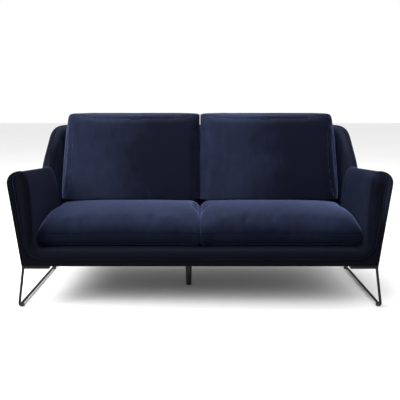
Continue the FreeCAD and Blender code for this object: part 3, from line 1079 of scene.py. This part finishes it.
finishes = {
    "velvet_shell": buildVelvet("navyVelvetShell", (0.0010, 0.0013, 0.0040, 1), (0.0042, 0.0055, 0.0140, 1),
                                0.5, 0.20, (0.20, 0.27, 0.56, 1)),
    "velvet_liner": buildVelvet("navyVelvetLiner", (0.0008, 0.0012, 0.0036, 1), (0.0056, 0.0076, 0.0190, 1),
                                0.35, 0.10, (0.20, 0.28, 0.58, 1)),
    "velvet_cushion": buildVelvet("navyVelvetCushion", (0.0020, 0.0028, 0.0080, 1),
                                  (0.0110, 0.0152, 0.0360, 1), 0.28, 0.58, (0.24, 0.31, 0.62, 1)),
    "black_steel": buildCoat("blackBronzeCoat", (0.0055, 0.0045, 0.0040, 1),
                             (0.0120, 0.0090, 0.0070, 1), 520, 0.5, 0, 0.15),
    "zinc_steel": buildCoat("zincPlate", (0.46, 0.46, 0.44, 1), (0.58, 0.57, 0.53, 1), 380, 0.36, 1.0),
    "glide_plastic": buildCoat("brownNylon", (0.050, 0.030, 0.022, 1), (0.075, 0.050, 0.038, 1), 700, 0.5),
    "stained_leg": buildWood("nearBlackWood", (0.0030, 0.0022, 0.0018, 1), (0.0110, 0.0085, 0.0070, 1), 14),
    "frame_timber": buildWood("sawnTimber", (0.33, 0.20, 0.10, 1), (0.58, 0.43, 0.26, 1), 8),
    "bent_plywood": buildWood("bentPly", (0.42, 0.29, 0.17, 1), (0.64, 0.49, 0.32, 1), 6),
    "elastic_webbing": buildWoven("elasticWebbing", (0.020, 0.020, 0.020, 1), (0.085, 0.082, 0.078, 1), 260),
    "foam": buildCoat("seatFoam", (0.72, 0.66, 0.50, 1), (0.80, 0.76, 0.62, 1), 900, 0.95),
    "zip_nylon": buildWoven("zipTape", (0.008, 0.009, 0.020, 1), (0.026, 0.029, 0.058, 1), 420),
    "dust_cloth": buildWoven("dustCloth", (0.006, 0.006, 0.007, 1), (0.022, 0.022, 0.024, 1), 330),
}


# a darker copy of the shell velvet with almost no sheen: painted shade on the front band
shadedBandVelvet = buildVelvet("navyVelvetBandShaded", (0.0006, 0.0007, 0.0022, 1), (0.0060, 0.0070, 0.0130, 1),
                         0.3, 0.02, (0.20, 0.27, 0.56, 1))


# dress and attach
def dressed(piece, slotName, body="root"):
    piece.data.materials.clear()
    piece.data.materials.append(finishes[slotName])
    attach(piece, body)
    return piece


for part in frame["record"]["subparts"]:
    node = frame["nodes"][part["node"]]
    for socket in node.material_slots:
        socket.material = finishes[part["material_slot"]]
print("finishes made for", len(finishes), "slots")

wallPiece = dressed(buildOuterWall(), "velvet_shell")
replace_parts(wallPiece, "outer_arm_cover_left", "outer_arm_cover_right", "outer_back_cover", "shell_rim")
bandPiece = dressed(buildFrontBand(), "velvet_shell")
bandPiece.data.materials[0] = shadedBandVelvet
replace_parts(bandPiece, "front_lower_panel")
cradlePiece = dressed(buildCradle(), "velvet_liner")
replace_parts(cradlePiece, "arm_pad_left", "arm_pad_right", "front_border_roll", "seat_deck_pad")
innerPiece = dressed(buildInnerBack(), "velvet_liner")
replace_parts(innerPiece, "wing_pad_left", "wing_pad_right", "back_pad")
clothPiece = dressed(buildDustCloth(), "dust_cloth")
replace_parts(clothPiece, "dust_cover")
weltPiece = dressed(buildWelt(), "velvet_shell")
# painted light and shade: the welt lighter towards the top; the band dark on its low strip and darker on the
# left; the liners darker at the front and to the left and lighter at the top; the wall left even
paintLightAndShade(weltPiece, lambda place: mixed(0.35, 0.8, smoothStep(0.30, 0.60, place.z)))
paintLightAndShade(wallPiece, lambda place: 0.5)
paintLightAndShade(bandPiece, lambda place: mixed(-0.4, mixed(0.25, 1.2, smoothStep(-0.7, 0.7, place.x)),
                                         smoothStep(0.30, 0.52, place.z)))
paintLightAndShade(cradlePiece, lambda place: mixed(-0.4, 0.0, smoothStep(-0.41, -0.33, place.y)) +
          mixed(0.0, 0.5, smoothStep(0.58, 0.63, place.z)) +
          smoothStep(0.28, 0.42, place.z) * mixed(-0.2, 0.8, smoothStep(-0.7, 0.7, place.x)))
paintLightAndShade(innerPiece, lambda place: mixed(0.3, 1.2, smoothStep(0.60, 0.80, place.z)) +
          mixed(-0.1, 0.3, smoothStep(-0.7, 0.7, place.x)))
print("shell and liners built")

seatRight = buildSeatBlock("seat_cushion_right")
backRight = buildBackBlock("back_cushion_right")
cushions = []
for block, settings in ((seatRight, seatCushion), (backRight, backCushion)):
    remeshed(block, settings["voxel"])
    cushions.append((block, settings))
    cushions.append((mirrored(block, block.name.replace("right", "left")), settings))
inflate(cushions)
for piece, settings in cushions:
    kind, side = piece.name.rsplit("_", 1)
    middle = 0.35 if side == "right" else -0.35
    if settings is seatCushion:
        settleSeat(piece)
        subdivided(piece)
        addSeam(piece, (0, 0, seatCushion["seam"]), (0, 0, 1), seatCushion["seamDepth"],
                seatCushion["seamWidth"])
        # painted light and shade: lighter towards the top, darker along the bottom
        paintLightAndShade(piece, lambda place: mixed(0.30, 0.95, smoothStep(0.33, 0.43, place.z)) -
              mixed(0.5, 0.0, smoothStep(0.285, 0.315, place.z)))
    else:
        subdivided(piece)
        settleBack(piece)
        depth = backCushion["front"] + backCushion["seamDepth"]
        addSeam(piece, (0, depth, backCushion["rest"]), (0, 1, -backCushion["lean"]))
        # painted light and shade: each cushion lighter on its left, darker towards its right
        paintLightAndShade(piece, lambda place: mixed(0.85, -0.15, smoothStep(-0.26, 0.34, place.x - middle)))
    dressed(piece, "velvet_cushion", piece.name)
    zipNode = kind + "_zip_" + side
    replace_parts(dressed(buildZip(zipNode, piece), "zip_nylon", piece.name), zipNode)
    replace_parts(piece, kind + "_cover_" + side, kind + "_foam_" + side)
print("cushions built")


# floor, lights and camera
def buildFloor():
    bm = bmesh.new()
    bmesh.ops.create_grid(bm, x_segments=8, y_segments=8, size=14)
    floor = finished("pale_floor", bm, smooth=False)
    material, tree, shader = newMaterial("paleFloor")
    place = addNode(tree, "TexCoord").outputs["Object"]
    spots = addNoise(tree, place, 1.5, 3, 0.5)
    color = addMix(tree, spots, (0.88, 0.88, 0.88, 1), (0.92, 0.92, 0.92, 1))
    tree.links.new(color, shader.inputs["Base Color"])
    shader.inputs["Roughness"].default_value = 0.9
    floor.data.materials.append(material)


def addLight(name, place, size, power):
    light = bpy.data.lights.new(name, "AREA")
    light.shape = "RECTANGLE"
    light.size, light.size_y = size
    light.energy = power
    lamp = bpy.data.objects.new(name, light)
    lamp.location = place
    lamp.rotation_euler = (Vector(studio["lightTarget"]) - Vector(place)).to_track_quat("-Z", "Y").to_euler()
    bpy.context.scene.collection.objects.link(lamp)


studio = {
    "lightTarget": (0, 0, 0.5),
    "worldColor": (1, 1, 1, 1),
    "worldLow": 0.26,
    "worldHigh": 1.2,
    "cameraPlace": (0, -2.92, 1.0),
    "cameraTilt": 79.07,
    "lens": 52.2,
}


def buildStudio():
    buildFloor()
    addLight("softKey", (-2.6, -2.2, 2.6), (2.0, 2.0), 190)
    addLight("softFill", (2.6, -2.6, 2.0), (2.5, 2.5), 8)
    addLight("softTop", (-0.3, 0.3, 3.4), (3.0, 2.0), 150)
    world = bpy.data.worlds.new("studioWorld")
    world.use_nodes = True
    tree = world.node_tree
    shine = tree.nodes["Background"]
    seen = addNode(tree, "Background", {"Color": studio["worldColor"], "Strength": 1})
    across = addNode(tree, "SeparateXYZ")
    tree.links.new(addNode(tree, "TexCoord").outputs["Generated"], across.inputs[0])
    strength = addRange(tree, across.outputs["Z"], -0.1, 1, studio["worldLow"], studio["worldHigh"])
    tree.links.new(strength, shine.inputs["Strength"])
    shine.inputs["Color"].default_value = studio["worldColor"]
    rays = addNode(tree, "LightPath")
    both = addNode(tree, "MixShader")
    tree.links.new(rays.outputs["Is Camera Ray"], both.inputs[0])
    tree.links.new(shine.outputs[0], both.inputs[1])
    tree.links.new(seen.outputs[0], both.inputs[2])
    tree.links.new(both.outputs[0], tree.nodes["World Output"].inputs["Surface"])
    bpy.context.scene.world = world
    camera = bpy.data.cameras.new("frontCamera")
    camera.lens = studio["lens"]
    camera.sensor_width = 36
    seat = bpy.data.objects.new("frontCamera", camera)
    seat.location = studio["cameraPlace"]
    seat.rotation_euler = (math.radians(studio["cameraTilt"]), 0, 0)
    bpy.context.scene.collection.objects.link(seat)
    bpy.context.scene.camera = seat
    bpy.context.scene.view_settings.view_transform = "Standard"


buildStudio()
